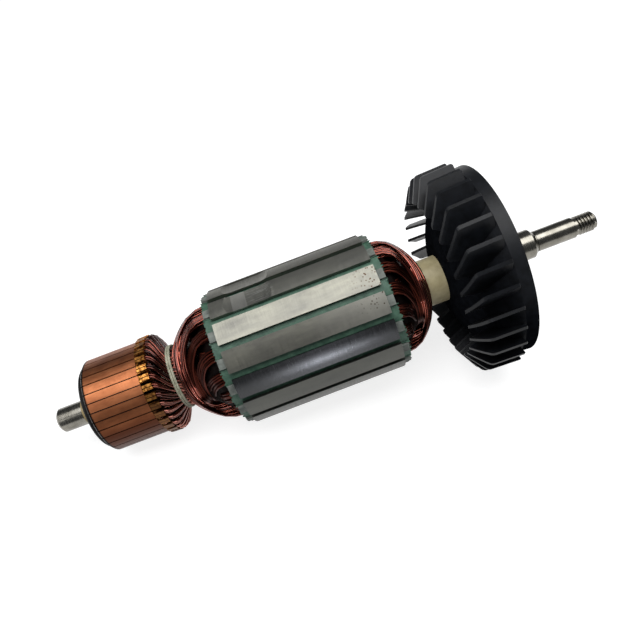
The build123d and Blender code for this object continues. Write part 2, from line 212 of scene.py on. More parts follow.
# %% Lay the paper
REACH = 6.0
PAPER_GLOW = 0.80
floor_mesh = bpy.data.meshes.new("floor")
floor_corners = [(-REACH, -REACH, 0), (REACH, -REACH, 0), (REACH, REACH, 0), (-REACH, REACH, 0)]
floor_mesh.from_pydata(floor_corners, [], [(0, 1, 2, 3)])
floor = bpy.data.objects.new("floor", floor_mesh)
bpy.context.scene.collection.objects.link(floor)
paper = bpy.data.materials.new("white_backdrop_paper")
paper.use_nodes = True
tree = paper.node_tree
tree.nodes.clear()
rays = add(tree, "ShaderNodeLightPath")
seen = rays.outputs["Is Camera Ray"]
for ray in ("Is Glossy Ray", "Is Transmission Ray"):
    seen = add(tree, "ShaderNodeMath", (seen, rays.outputs[ray]), operation="MAXIMUM")
lift = add(tree, "ShaderNodeMath", (seen, PAPER_GLOW), operation="MULTIPLY")
glow = add(tree, "ShaderNodeEmission", {"Color": linear("#FFFFFF"), "Strength": lift})
grey = add(tree, "ShaderNodeBsdfDiffuse", (linear("#A2A2A2"),))
both = add(tree, "ShaderNodeAddShader", (grey, glow))
add(tree, "ShaderNodeOutputMaterial", (both,))
floor_mesh.materials.append(paper)
print("paper reaches", REACH, "m each way")

# %% [markdown]
# ## Coordinates for the finishes
#
# Grinding and turning leave marks that run round the shaft, and drawing leaves marks along it.
# A pattern in the world's axes would cross them at the wrong angle, so one node group turns
# Object coordinates into the shaft's millimetres. It also gives the angle round the shaft, which
# says which tooth of the core a point is on, and the radius, which tells the fan's rim from its
# dish.

# %% One group for the shaft's coordinates
measures = bpy.data.node_groups.new("shaft_millimetres", "ShaderNodeTree")
for name, kind in (("Place", "NodeSocketVector"), ("Along", "NodeSocketFloat"),
                   ("Angle", "NodeSocketFloat"), ("Radius", "NodeSocketFloat")):
    measures.interface.new_socket(name, in_out="OUTPUT", socket_type=kind)
own_place = add(measures, "ShaderNodeTexCoord").outputs["Object"]
levelled = add(measures, "ShaderNodeMapping", {
    "Vector": own_place, "Scale": (MM, MM, MM), "Rotation": (0, tilt, 0),
    "Location": -(Matrix.Rotation(tilt, 4, "Y") @ shaft_start) * MM})
faced = add(measures, "ShaderNodeMapping", {
    "Vector": levelled, "Rotation": (radians(-VIEW_TURN), 0, 0)})
parts = add(measures, "ShaderNodeSeparateXYZ", (faced,))
across, down = parts.outputs["Y"], parts.outputs["Z"]
turn = add(measures, "ShaderNodeMath", (down, across), operation="ARCTAN2")
turn_degrees = add(measures, "ShaderNodeMath", (turn,), operation="DEGREES")
square = add(measures, "ShaderNodeMath", (across, across), operation="MULTIPLY")
squares = add(measures, "ShaderNodeMath", (down, down, square), operation="MULTIPLY_ADD")
radius = add(measures, "ShaderNodeMath", (squares,), operation="SQRT")
add(measures, "NodeGroupOutput", {"Place": faced, "Along": parts.outputs["X"],
                                  "Angle": turn_degrees, "Radius": radius})
print("measures", [item.name for item in measures.interface.items_tree])

# %% [markdown]
# ## Grain and bands
#
# Two more groups serve nearly every finish. Grain is noise drawn out along the shaft's axes: its
# stretch says how many grains there are to a millimetre along, across and down. Its other inputs
# are the noise's detail and roughness. A band is 1 from one place to another of any measure and
# 0 outside. Its inputs are the measure, its start and end, and how soft its edges are.

# %% One group for grain and one for a band
grain = bpy.data.node_groups.new("grain_on_the_shaft", "ShaderNodeTree")
for name, kind, usual in (("Stretch", "NodeSocketVector", (1, 1, 1)),
                          ("Detail", "NodeSocketFloat", 3.0),
                          ("Roughness", "NodeSocketFloat", 0.6)):
    grain.interface.new_socket(name, in_out="INPUT", socket_type=kind).default_value = usual
grain.interface.new_socket("Grain", in_out="OUTPUT", socket_type="NodeSocketFloat")
given = add(grain, "NodeGroupInput").outputs
place = add(grain, "ShaderNodeGroup", node_tree=measures)
drawn = add(grain, "ShaderNodeVectorMath", (place, given["Stretch"]), operation="MULTIPLY")
noise = add(grain, "ShaderNodeTexNoise", {"Vector": drawn, "Scale": 1.0, "Detail": given["Detail"],
                                          "Roughness": given["Roughness"]})
add(grain, "NodeGroupOutput", (noise,))

band = bpy.data.node_groups.new("band_with_soft_edges", "ShaderNodeTree")
for name in ("Value", "Start", "End", "Soft"):
    band.interface.new_socket(name, in_out="INPUT", socket_type="NodeSocketFloat")
band.interface.new_socket("Inside", in_out="OUTPUT", socket_type="NodeSocketFloat")
given = add(band, "NodeGroupInput").outputs
edges = []
for name, low, high in (("Start", 0.0, 1.0), ("End", 1.0, 0.0)):
    before = add(band, "ShaderNodeMath", (given[name], given["Soft"]), operation="SUBTRACT")
    after = add(band, "ShaderNodeMath", (given[name], given["Soft"]), operation="ADD")
    edges.append(add(band, "ShaderNodeMapRange", (given["Value"], before, after, low, high)))
inside = add(band, "ShaderNodeMath", edges, operation="MULTIPLY")
add(band, "NodeGroupOutput", (inside,))
print("groups", [group.name for group in bpy.data.node_groups])


# %% Start a finish and put it on
def start_finish(name):
    """A new material with an empty tree, ready for its pattern."""
    made = bpy.data.materials.new(name)
    made.use_nodes = True
    made.node_tree.nodes.clear()
    return made, made.node_tree


def dress(names, finish):
    """Puts a finish on nodes of the construction model."""
    for name in names:
        nodes[name].data.materials.clear()
        nodes[name].data.materials.append(finish)
    print(finish.name, "on", len(names))


# %% [markdown]
# ## Steel: the shaft
#
# The shaft is bearing steel, turned and then ground between centres. Grinding leaves very fine
# rings round it, so the noise is dense along the shaft and long round it. The real rings are
# finer still, but they would be lost in the picture. Handling has left a film of oil, which
# changes the tone in soft patches.

# %% Ground shaft steel
shaft_steel, tree = start_finish("ground_shaft_steel")
rings = add(tree, "ShaderNodeGroup", ((9.0, 0.25, 0.25),), node_tree=grain)
film = add(tree, "ShaderNodeGroup", ((0.22, 0.22, 0.22),), node_tree=grain)
tone = add(tree, "ShaderNodeValToRGB", (film,), ((0.3, "#6E6B63"), (0.7, "#8B8880")))
wear = add(tree, "ShaderNodeMapRange", (rings, 0.3, 0.7, 0.16, 0.32))
bump = add(tree, "ShaderNodeBump", {"Height": rings, "Distance": 0.012 / MM, "Strength": 0.35})
shader = add(tree, "ShaderNodeBsdfPrincipled", {
    "Base Color": tone, "Metallic": 1.0, "Roughness": wear, "Normal": bump})
add(tree, "ShaderNodeOutputMaterial", (shader,))
dress(["shaft"], shaft_steel)

# %% [markdown]
# ## Steel: the core
#
# The core is a stack of stamped electrical steel sheets half a millimetre thick, under a film of
# varnish that dulls it. Its teeth aren't alike. One is ground bright at its start, where a cutter
# took steel off for balance, and scratched beyond. The next but one is painted paler towards the
# fan. The one below it is painted dark as painted shade and is smoother, and the two under that,
# which face the floor, are painted darker as painted shade. Damp has left rust specks near the fan
# end. Each of these is an area, made of one or more bands, and its colour is laid over the steel's
# own in turn.

# %% Areas of the core
PITCH = 22.5
TOOTH_ANGLE = -19.8
CRISP = 0.2
core_steel, tree = start_finish("turned_lamination_steel")
place = add(tree, "ShaderNodeGroup", node_tree=measures)
along, angle = place.outputs["Along"], place.outputs["Angle"]
areas = {
    "balanced_tooth": (angle, TOOTH_ANGLE - 1.5 * PITCH, TOOTH_ANGLE - 0.5 * PITCH, CRISP),
    "paler_to_fan_tooth": (angle, TOOTH_ANGLE + 0.5 * PITCH, TOOTH_ANGLE + 1.5 * PITCH, CRISP),
    # Painted shade: one tooth painted dark, and the two lower teeth, which face the floor, painted
    # darker.
    "shaded_smooth_tooth": (angle, TOOTH_ANGLE + 1.5 * PITCH, TOOTH_ANGLE + 2.5 * PITCH, CRISP),
    "shaded_lower_teeth": (angle, TOOTH_ANGLE + 2.5 * PITCH, TOOTH_ANGLE + 4.5 * PITCH, CRISP),
    "damp_teeth": (angle, TOOTH_ANGLE - 0.5 * PITCH, TOOTH_ANGLE + 1.1 * PITCH, 1.0),
    "ground_patch": (along, 83.4, 89.0, 0.15),
    "scratched_patch": (along, 89.5, 99.5, 1.0),
}
for name, limits in areas.items():
    areas[name] = add(tree, "ShaderNodeGroup", limits, node_tree=band)
print("areas", list(areas))

# %% Colours of the core
# How much of that tooth's painted shade is laid on; it also scales the tooth's smoothing.
SHADED_TOOTH_SHARE = 0.93
cloud = add(tree, "ShaderNodeGroup", ((0.07, 0.25, 0.25),), node_tree=grain)
steel = add(tree, "ShaderNodeValToRGB", (cloud,), ((0.3, "#676661"), (0.75, "#807F75")))
to_the_fan = add(tree, "ShaderNodeMapRange", (along, 104.0, 132.0, 0.0, 0.55))
streaks = add(tree, "ShaderNodeGroup", ((0.12, 3.0, 3.0), 2.0), node_tree=grain)
scratches = add(tree, "ShaderNodeMapRange", (streaks, 0.55, 0.62, 0.0, 0.6))
damp = add(tree, "ShaderNodeMapRange", (along, 125.0, 134.0, 0.0, 1.0))
specks = add(tree, "ShaderNodeTexVoronoi", {"Vector": place, "Scale": 0.85})
spots = add(tree, "ShaderNodeMapRange", (specks, 0.18, 0.30, 1.0, 0.0))
# Each coat's colour, and the factors that say how much of it is laid on.
coats = (
    # A tooth painted paler towards the fan, then painted shade on one dark tooth and on the two
    # lower teeth.
    ("#B4B2A9", areas["paler_to_fan_tooth"], to_the_fan),
    ("#3B3C3E", areas["shaded_smooth_tooth"], SHADED_TOOTH_SHARE),
    ("#434442", areas["shaded_lower_teeth"], 0.78),
    ("#9A9A94", areas["balanced_tooth"], 0.35),
    ("#A3A29C", areas["balanced_tooth"], areas["ground_patch"]),
    ("#B5B6B0", areas["balanced_tooth"], areas["scratched_patch"], scratches),
    ("#3A2415", areas["damp_teeth"], damp, spots),
)
for code, amount, *factors in coats:
    for factor in factors:
        amount = add(tree, "ShaderNodeMath", (amount, factor), operation="MULTIPLY")
    steel = add(tree, "ShaderNodeMix", {"Factor": amount, "A": steel, "B": linear(code)},
                data_type="RGBA")
print("coats of colour", len(coats))

# %% [markdown]
# The sheets' edges make faint rings at their pitch, and turning adds finer ones. Each tooth
# catches the light as one piece, because its face is a little flatter than the circle, so the
# relief lifts the sides of every face by the square of the way from its middle. The tooth that is
# painted dark as painted shade is smoother than the others, which draws its glint out. The turned
# rings are drawn coarser than the real ones, at five to the millimetre, because finer ones
# wouldn't show.

# %% Relief of the core
# Millimetres from sheet to sheet, and how far a face stands off its circle at its sides.
SHEET = 0.5
FACE_LIFT = 0.26
SHADED_TOOTH_SMOOTHING = 0.235
rings = add(tree, "ShaderNodeGroup", ((5.0, 0.15, 0.15),), node_tree=grain)
fine_rings = add(tree, "ShaderNodeMath", (rings, 0.008), operation="MULTIPLY")
sheet_turn = add(tree, "ShaderNodeMath", (along, 2 * pi / SHEET), operation="MULTIPLY")
sheets = add(tree, "ShaderNodeMath", (sheet_turn,), operation="SINE")
fine = add(tree, "ShaderNodeMath", (sheets, 0.0015, fine_rings), operation="MULTIPLY_ADD")
from_tooth = add(tree, "ShaderNodeMath", (angle, TOOTH_ANGLE), operation="SUBTRACT")
teeth_away = add(tree, "ShaderNodeMath", (from_tooth, PITCH / 2), operation="DIVIDE")
halved = add(tree, "ShaderNodeMath", (teeth_away, 0.5), operation="MULTIPLY")
nearest = add(tree, "ShaderNodeMath", (halved,), operation="ROUND")
off_middle = add(tree, "ShaderNodeMath", (nearest, -2.0, teeth_away), operation="MULTIPLY_ADD")
rise = add(tree, "ShaderNodeMath", (off_middle, off_middle), operation="MULTIPLY")
height = add(tree, "ShaderNodeMath", (rise, FACE_LIFT, fine), operation="MULTIPLY_ADD")
bump = add(tree, "ShaderNodeBump", {"Height": height, "Distance": 1 / MM, "Strength": 1.0})
worn = add(tree, "ShaderNodeMapRange", (rings, 0.3, 0.7, 0.36, 0.50))
wear = add(tree, "ShaderNodeMath", (areas["shaded_smooth_tooth"], -SHADED_TOOTH_SMOOTHING * SHADED_TOOTH_SHARE, worn),
           operation="MULTIPLY_ADD")
shader = add(tree, "ShaderNodeBsdfPrincipled", {
    "Base Color": steel, "Metallic": 1.0, "Roughness": wear, "Normal": bump})
add(tree, "ShaderNodeOutputMaterial", (shader,))
dress(["core"], core_steel)

# %% [markdown]
# ## Copper: the commutator
#
# The bars are hard-drawn copper, turned true and run in by the brushes. Turning leaves rings
# round the shaft, drawn here at seven to the millimetre, which is coarse enough to show. Air and
# carbon have browned the copper unevenly. The lower bars are painted a darker brown as painted
# shade, the edges along the slits are painted nearly black as painted shade in the slits, and a
# dark rim is painted round the front. The hooks were crushed down on the wires by hot tongs, which
# left them golden and uneven. A dark line down their middle is painted shade of a groove, and the
# lower hooks are painted browner as painted shade.

# %% Which bar, and how far from its middle
BARS = 32
BAR_PITCH = 360 / BARS
BAR_ANGLE = -52.0 + BAR_PITCH / 2
copper, tree = start_finish("turned_copper")
place = add(tree, "ShaderNodeGroup", node_tree=measures)
along, angle = place.outputs["Along"], place.outputs["Angle"]
from_bar = add(tree, "ShaderNodeMath", (angle, BAR_ANGLE), operation="SUBTRACT")
bar = add(tree, "ShaderNodeMath", (from_bar, BAR_PITCH), operation="DIVIDE")
nearest = add(tree, "ShaderNodeMath", (bar,), operation="ROUND")
beside = add(tree, "ShaderNodeMath", (bar, nearest), operation="SUBTRACT")
off_middle = add(tree, "ShaderNodeMath", (beside,), operation="ABSOLUTE")
print("bar pitch in degrees", BAR_PITCH)

# %% Turned copper
brown = add(tree, "ShaderNodeGroup", ((0.12, 0.30, 0.30), 4.0), node_tree=grain)
run_in = add(tree, "ShaderNodeValToRGB", (brown,), ((0.3, "#865034"), (0.7, "#AB6C48")))
# Painted shade on the lower bars, painted shade along the slits, and a dark rim painted round the
# front.
for code, limits in (("#3E1E10", (angle, 8.0, 40.0, 0.0, 0.95)),
                     ("#1E0D07", (off_middle, 0.435, 0.455, 0.0, 0.85)),
                     ("#17100D", (along, 19.5, 19.9, 1.0, 0.0))):
    amount = add(tree, "ShaderNodeMapRange", limits)
    run_in = add(tree, "ShaderNodeMix", {"Factor": amount, "A": run_in, "B": linear(code)},
                 data_type="RGBA")
dabs = add(tree, "ShaderNodeGroup", ((0.9, 0.9, 0.9),), node_tree=grain)
gold = add(tree, "ShaderNodeValToRGB", (dabs,), ((0.4, "#6A3F18"), (0.6, "#DA9A50")))
# Painted shade of a groove down each hook's middle, and painted shade on the lower hooks.
for code, limits in (("#2A170C", (off_middle, 0.03, 0.07, 1.0, 0.0)),
                     ("#4E3220", (angle, 2.0, 22.0, 0.0, 0.9))):
    amount = add(tree, "ShaderNodeMapRange", limits)
    gold = add(tree, "ShaderNodeMix", {"Factor": amount, "A": gold, "B": linear(code)},
               data_type="RGBA")
on_hook = add(tree, "ShaderNodeMapRange", (along, 40.6, 41.2, 0.0, 1.0))
colour = add(tree, "ShaderNodeMix", {"Factor": on_hook, "A": run_in, "B": gold}, data_type="RGBA")
rings = add(tree, "ShaderNodeGroup", ((7.0, 0.2, 0.2),), node_tree=grain)
wear = add(tree, "ShaderNodeMapRange", (rings, 0.3, 0.7, 0.34, 0.50))
bump = add(tree, "ShaderNodeBump", {"Height": rings, "Distance": 0.015 / MM, "Strength": 0.4})
shader = add(tree, "ShaderNodeBsdfPrincipled", {
    "Base Color": colour, "Metallic": 1.0, "Roughness": wear, "Normal": bump})
add(tree, "ShaderNodeOutputMaterial", (shader,))
dress(sorted(name for name in nodes if name.startswith("commutator_bar_")), copper)

# %% [markdown]
# ## Plastics and papers
#
# The commutator's moulding is black phenolic, and the bush under it a tan glass resin. The tube
# on the shaft is cream nylon, a little yellowed. The end discs are grey vulcanised fibre, and
# the slot papers are green pressed board with a matt, faintly mottled face. All of them have a
# soft change of tone and a fine skin, so one function makes them, from the two ends of the tone,
# the roughness, the grains to a millimetre in the skin, and its depth in millimetres.

# %% Moulding, bush, tube, discs and papers
SKIN_WEAR = 0.08


def matt_finish(name, low, high, roughness, grains, depth, specular=0.5):
    """A moulded, pressed or varnished surface that isn't metal."""
    made, tree = start_finish(name)
    mottle = add(tree, "ShaderNodeGroup", ((0.35, 0.35, 0.35), 4.0), node_tree=grain)
    skin = add(tree, "ShaderNodeGroup", ((grains, grains, grains), 2.0), node_tree=grain)
    tone = add(tree, "ShaderNodeValToRGB", (mottle,), ((0.3, low), (0.7, high)))
    wear = add(tree, "ShaderNodeMapRange",
               (skin, 0.3, 0.7, roughness - SKIN_WEAR, roughness + SKIN_WEAR))
    bump = add(tree, "ShaderNodeBump", {"Height": skin, "Distance": depth / MM, "Strength": 0.5})
    shader = add(tree, "ShaderNodeBsdfPrincipled", {
        "Base Color": tone, "Roughness": wear, "Specular IOR Level": specular, "Normal": bump})
    add(tree, "ShaderNodeOutputMaterial", (shader,))
    return made


black_phenolic = matt_finish("black_phenolic", "#060606", "#0E0D0D", 0.60, 3.0, 0.02,
                             specular=0.15)
tan_resin = matt_finish("tan_glass_resin", "#75653F", "#9A875C", 0.55, 4.0, 0.02)
cream_nylon = matt_finish("cream_nylon", "#A09470", "#B8AD88", 0.42, 2.0, 0.03)
grey_fibre = matt_finish("grey_vulcanised_fibre", "#454A46", "#6C716B", 0.70, 2.5, 0.05)
green_paper = matt_finish("green_slot_paper", "#213F32", "#41604F", 0.62, 2.5, 0.04)
dress(["commutator_moulding"], black_phenolic)
dress(["commutator_bush"], tan_resin)
dress(["insulating_tube"], cream_nylon)
dress(["end_disc_commutator_side", "end_disc_fan_side"], grey_fibre)

# %% [markdown]
# ## The fan
#
# The fan is black nylon with glass fibre, injection moulded. Its blades and the top of its rim
# are satin, with a slight orange-peel from the mould, and catch the soft box. The face of the
# dish behind the blades and the lower half of the rim hardly shine at all, as fine dust would
# leave them. A point is on that face where it looks to the core and lies on the dish's own
# curve, and on the rim where it is past the blades and far enough out, so the matt share is
# worked out from those.

# %% The matt places of the fan
# The dish's curve bends round a circle of this radius, whose middle is this far out and along.
DISH_CURVE, DISH_HUB, DISH_MIDDLE = 36.0, 8.0, 199.4
RIM_START, RIM_RADIUS = 180.4, 38.6
fan_nylon, tree = start_finish("black_glass_filled_nylon")
place = add(tree, "ShaderNodeGroup", node_tree=measures)
along, angle, radius = (place.outputs[name] for name in ("Along", "Angle", "Radius"))
outward = add(tree, "ShaderNodeTexCoord").outputs["Normal"]
facing = add(tree, "ShaderNodeVectorMath", (outward, way), operation="DOT_PRODUCT")
from_hub = add(tree, "ShaderNodeMath", (radius, DISH_HUB), operation="SUBTRACT")
squared = add(tree, "ShaderNodeMath", (from_hub, from_hub), operation="MULTIPLY")
left_over = add(tree, "ShaderNodeMath", (DISH_CURVE ** 2, squared), operation="SUBTRACT")
dish_depth = add(tree, "ShaderNodeMath", (left_over,), operation="SQRT")
on_curve = add(tree, "ShaderNodeMath", (along, dish_depth), operation="ADD")
shares = {name: add(tree, "ShaderNodeMapRange", limits) for name, limits in {
    "faces_core": (facing, -0.75, -0.25, 1.0, 0.0),
    "past_curve": (on_curve, DISH_MIDDLE - 1.4, DISH_MIDDLE - 0.4, 0.0, 1.0),
    "underside": (angle, 4.0, 38.0, 0.0, 1.0),
    "outer": (radius, RIM_RADIUS - 1.4, RIM_RADIUS - 0.6, 0.0, 1.0),
    "past_blades": (along, RIM_START - 0.2, RIM_START + 0.1, 0.0, 1.0),
}.items()}
dish = add(tree, "ShaderNodeMath", (shares["faces_core"], shares["past_curve"]),
           operation="MULTIPLY")
rim = add(tree, "ShaderNodeMath", (shares["outer"], shares["past_blades"]), operation="MULTIPLY")
low_rim = add(tree, "ShaderNodeMath", (rim, shares["underside"]), operation="MULTIPLY")
matt = add(tree, "ShaderNodeMath", (dish, low_rim), operation="MAXIMUM")
print("shares", list(shares))

# %% Black glass-filled nylon
mottle = add(tree, "ShaderNodeGroup", ((0.35, 0.35, 0.35), 4.0), node_tree=grain)
tone = add(tree, "ShaderNodeValToRGB", (mottle,), ((0.3, "#0A0B0D"), (0.7, "#14161A")))
skin = add(tree, "ShaderNodeGroup", ((1.6, 1.6, 1.6), 2.0), node_tree=grain)
bump = add(tree, "ShaderNodeBump", {"Height": skin, "Distance": 0.03 / MM, "Strength": 0.5})
wear = add(tree, "ShaderNodeMapRange", (matt, 0.0, 1.0, 0.42, 0.75))
gloss = add(tree, "ShaderNodeMapRange", (matt, 0.0, 1.0, 0.2, 0.0))
shader = add(tree, "ShaderNodeBsdfPrincipled", {
    "Base Color": tone, "Roughness": wear, "Specular IOR Level": gloss, "Normal": bump})
add(tree, "ShaderNodeOutputMaterial", (shader,))
dress(["cooling_fan"], fan_nylon)

# %% [markdown]
# ## The turns of the windings
#
# Sixteen coils lie in the core's slots, in eight pairs. Each coil goes down one slot, crosses to
# a slot nearly opposite, passing close by the shaft, and comes back through that. The first pair
# lies flat against the core and each later pair arches over the one before, so the end turns
# build up a dome. A turn's way over the end is three runs seen along the shaft: straight in from
# the slot, round the neck, and straight out again. Its height above the core follows the dome.
#
# The outermost pair has one more stack of turns underneath, so that no daylight shows between
# the layers. The ways are written as points, rounded by a few smoothing passes as stiff wire
# would round them, and kept as closed splines. A Geometry Nodes tree then sweeps a round wire
# along each.

# %% The dome that each layer of end turns follows
# Millimetres and degrees on the shaft. -1 is the commutator's side of the core, 1 the fan's.
CORE_START, CORE_END = 74.6, 137.1
TUBE_RADIUS = 9.6
WINDING_RADIUS = 24.5
LAYERS = 8
SPAN = 7
FIRST_SLOT_ANGLE = -76.08
RIM_DEPTH = 1.9
BULGE = 2.2
LINER_OVERHANG = 3.4
PAPER_GAP, FIRST_BULGE, RIM_GAP = 0.1, 0.2, 0.3
NECK_DEPTH = {-1: 22.2, 1: 18.6}
NECK_OUT = {-1: 11.5, 1: 9.8}
WIRE = 0.96


def arc_through(points, radius):
    """Depth at a radius, on the circle through three points of (depth, radius)."""
    (a, b), (c, d), (e, f) = points
    first, second, third = a * a + b * b, c * c + d * d, e * e + f * f
    twice = 2 * (a * (d - f) + c * (f - b) + e * (b - d))
    middle_x = (first * (d - f) + second * (f - b) + third * (b - d)) / twice
    middle_y = (first * (e - c) + second * (a - e) + third * (c - a)) / twice
    size = sqrt((a - middle_x) ** 2 + (b - middle_y) ** 2)
    return middle_x + sqrt(max(size * size - (radius - middle_y) ** 2, 0.0))


def dome(share, side, radius):
    """Place along the shaft of a layer, from 0 for the innermost to 1 for the outermost."""
    depth = NECK_DEPTH[side]
    first = LINER_OVERHANG + PAPER_GAP
    neck = first + share * (depth - first)
    rim = first + share * RIM_DEPTH
    middle = (neck + rim) / 2 + FIRST_BULGE + share * BULGE
    inner = NECK_OUT[side]
    edge = [(neck, inner), (middle, (WINDING_RADIUS + inner) / 2), (rim, WINDING_RADIUS + RIM_GAP)]
    face = CORE_START if side < 0 else CORE_END
    return face + side * arc_through(edge, max(radius, inner))


print("outermost dome at the neck", [round(dome(1.0, side, NECK_OUT[side]), 2) for side in (-1, 1)])

# %% The way of one turn
# A slot's legs lie high or low in it. A spread is how far a turn may stray at random.
SLOTS = 16
TOOTH = 4.5
SLOT_BOTTOM, SLOT_TOP = 15.1, 26.2
HIGH_LEG, LOW_LEG = (21.4, 25.0), (16.4, 20.6)
NECK_RADII = (10.2, 14.1)
STACKS, LANES = 3, 5
WALL_GAP = 0.55
RUN_STEPS, NECK_STEPS = 12, 7
STRAIGHT_OUT, OUTWARD_DRIFT = 0.5, 0.6
STACK_SPREAD, ACROSS_SPREAD, LAYER_SPREAD = (0.15, 0.85), (-0.12, 0.12), (0.1, 0.9)
NECK_SPREAD, SLACK_SPREAD, DRIFT_SPREAD = (-0.35, 0.3), (-0.45, 0.35), (-0.5, 0.5)


def slot_half(radius):
    """Half the width of a slot at a radius, between two teeth with parallel sides."""
    half_pitch = radians(180.0 / SLOTS)
    return radius * tan(half_pitch) - TOOTH / 2 / cos(half_pitch)


def share_of(limits, share):
    """The value a share of the way from the first limit to the last."""
    return limits[0] + (limits[1] - limits[0]) * share


def flat_way(start, end, start_radius, end_radius, neck_radius):
    """Points of (radius, angle) straight in from one slot, round the neck and out to the other."""
    first = start + degrees(acos(neck_radius / start_radius))
    last = end - degrees(acos(neck_radius / end_radius))
    corner_in = on_shaft(0, start_radius, start)
    neck_in = on_shaft(0, neck_radius, first)
    neck_out = on_shaft(0, neck_radius, last)
    corner_out = on_shaft(0, end_radius, end)
    points = [corner_in.lerp(neck_in, step / RUN_STEPS) for step in range(RUN_STEPS)]
    points += [on_shaft(0, neck_radius, first + (last - first) * step / NECK_STEPS)
               for step in range(NECK_STEPS)]
    points += [neck_out.lerp(corner_out, step / RUN_STEPS) for step in range(RUN_STEPS + 1)]
    return [(sqrt(point.y ** 2 + point.z ** 2), degrees(atan2(point.z, point.y)))
            for point in points]


def leg(middle, high, stack, lane, towards, draw):
    """Radius and angle of a turn in its slot. Lanes run from -1 to 1 across the slot."""
    limits = HIGH_LEG if high else LOW_LEG
    radius = share_of(limits, (stack + draw.uniform(*STACK_SPREAD)) / STACKS)
    across = lane * (slot_half(radius) - WALL_GAP) + draw.uniform(*ACROSS_SPREAD)
    return radius, middle + towards * degrees(across / radius)


def one_turn(pair, half, stack, lane, draw):
    """A closed way through both slots and over both ends of the core."""
    start = FIRST_SLOT_ANGLE + (LAYERS - 1 - pair) * PITCH + 180 * half
    points = []
    for side in (1, -1):
        share = (pair + (stack + draw.uniform(*LAYER_SPREAD)) / STACKS) / LAYERS
        start_radius, start_angle = leg(start, pair > 0, stack, lane, 1, draw)
        end_radius, end_angle = leg(start + SPAN * PITCH, pair == LAYERS - 1, stack, lane, -1, draw)
        neck_radius = share_of(NECK_RADII, (lane + 1) / 2) + draw.uniform(*NECK_SPREAD)
        slack, drift = draw.uniform(*SLACK_SPREAD), draw.uniform(*DRIFT_SPREAD)
        flat = flat_way(start_angle, end_angle, start_radius, end_radius, neck_radius)
        over = []
        for number, (radius, angle) in enumerate(flat):
            swell = sin(pi * number / (len(flat) - 1)) ** 2
            along = dome(share, side, radius) + side * slack * swell
            over.append(on_shaft(along, radius + drift * swell * OUTWARD_DRIFT, angle))
        face = CORE_END if side > 0 else CORE_START
        entry = on_shaft(face + side * STRAIGHT_OUT, *flat[0])
        leave = on_shaft(face + side * STRAIGHT_OUT, *flat[-1])
        piece = [entry] + over + [leave]
        points += piece if side > 0 else list(reversed(piece))
    return points


def rounded(points, passes, closed=True):
    """The points after a few passes that draw each one towards its neighbours."""
    count = len(points)
    for _ in range(passes):
        before = points
        points = [
            before[number] if not closed and number in (0, count - 1)
            else before[number] * 0.5 + (before[number - 1] + before[(number + 1) % count]) * 0.25
            for number in range(count)
        ]
    return points


print("slot half width", round(slot_half(SLOT_BOTTOM), 2), "to", round(slot_half(SLOT_TOP), 2))

# %% [markdown]
# ## One tree for everything that is swept
#
# Turns, leads and the strands of the cord are all round sections along splines, so one Geometry
# Nodes tree serves them. Its inputs are the wire's radius, the number of sides and the finish.
# It also gives every spline a number of its own between 0 and 1, by which the enamel's tone
# changes from wire to wire.
#
# A modifier's input is set by the socket's identifier before the object is first evaluated, and
# the result is then copied to a plain mesh, because the export keeps meshes only.

# %% Build the sweeping tree
TONE_SEED = 7


def build_sweep():
    """The tree that sweeps a round wire along every spline."""
    tree = bpy.data.node_groups.new("sweep_round_wire", "GeometryNodeTree")
    sockets = (("Ways", "INPUT", "NodeSocketGeometry"), ("Radius", "INPUT", "NodeSocketFloat"),
               ("Sides", "INPUT", "NodeSocketInt"), ("Finish", "INPUT", "NodeSocketMaterial"),
               ("Wire", "OUTPUT", "NodeSocketGeometry"))
    for name, way_in, kind in sockets:
        tree.interface.new_socket(name, in_out=way_in, socket_type=kind)
    given = add(tree, "NodeGroupInput")
    ring = add(tree, "GeometryNodeCurvePrimitiveCircle", {
        "Resolution": given.outputs["Sides"], "Radius": given.outputs["Radius"]})
    index = add(tree, "GeometryNodeInputIndex")
    chance = add(tree, "FunctionNodeRandomValue", {"ID": index, "Seed": TONE_SEED},
                 data_type="FLOAT")
    toned = add(tree, "GeometryNodeStoreNamedAttribute", {
        "Geometry": given.outputs["Ways"], "Name": "tone", "Value": chance},
        data_type="FLOAT", domain="CURVE")
    swept = add(tree, "GeometryNodeCurveToMesh", {
        "Curve": toned, "Profile Curve": ring, "Fill Caps": True})
    smooth = add(tree, "GeometryNodeSetShadeSmooth", {"Geometry": swept})
    real = add(tree, "GeometryNodeRealizeInstances", {"Geometry": smooth})
    finish = add(tree, "GeometryNodeSetMaterial", {
        "Geometry": real, "Material": given.outputs["Finish"]})
    add(tree, "NodeGroupOutput", {"Wire": finish})
    return tree


sweep_tree = build_sweep()
print("sweeping tree with", len(sweep_tree.nodes), "nodes")


# %% Sweep wires into a plain mesh
def plain_mesh(source, name):
    """The evaluated result of a modifier as a plain mesh object, laid in the world's metres."""
    graph = bpy.context.evaluated_depsgraph_get()
    mesh = bpy.data.meshes.new_from_object(source.evaluated_get(graph))
    bpy.data.objects.remove(source)
    mesh.name = name
    mesh.transform(lay)
    made = bpy.data.objects.new(name, mesh)
    bpy.context.scene.collection.objects.link(made)
    return made


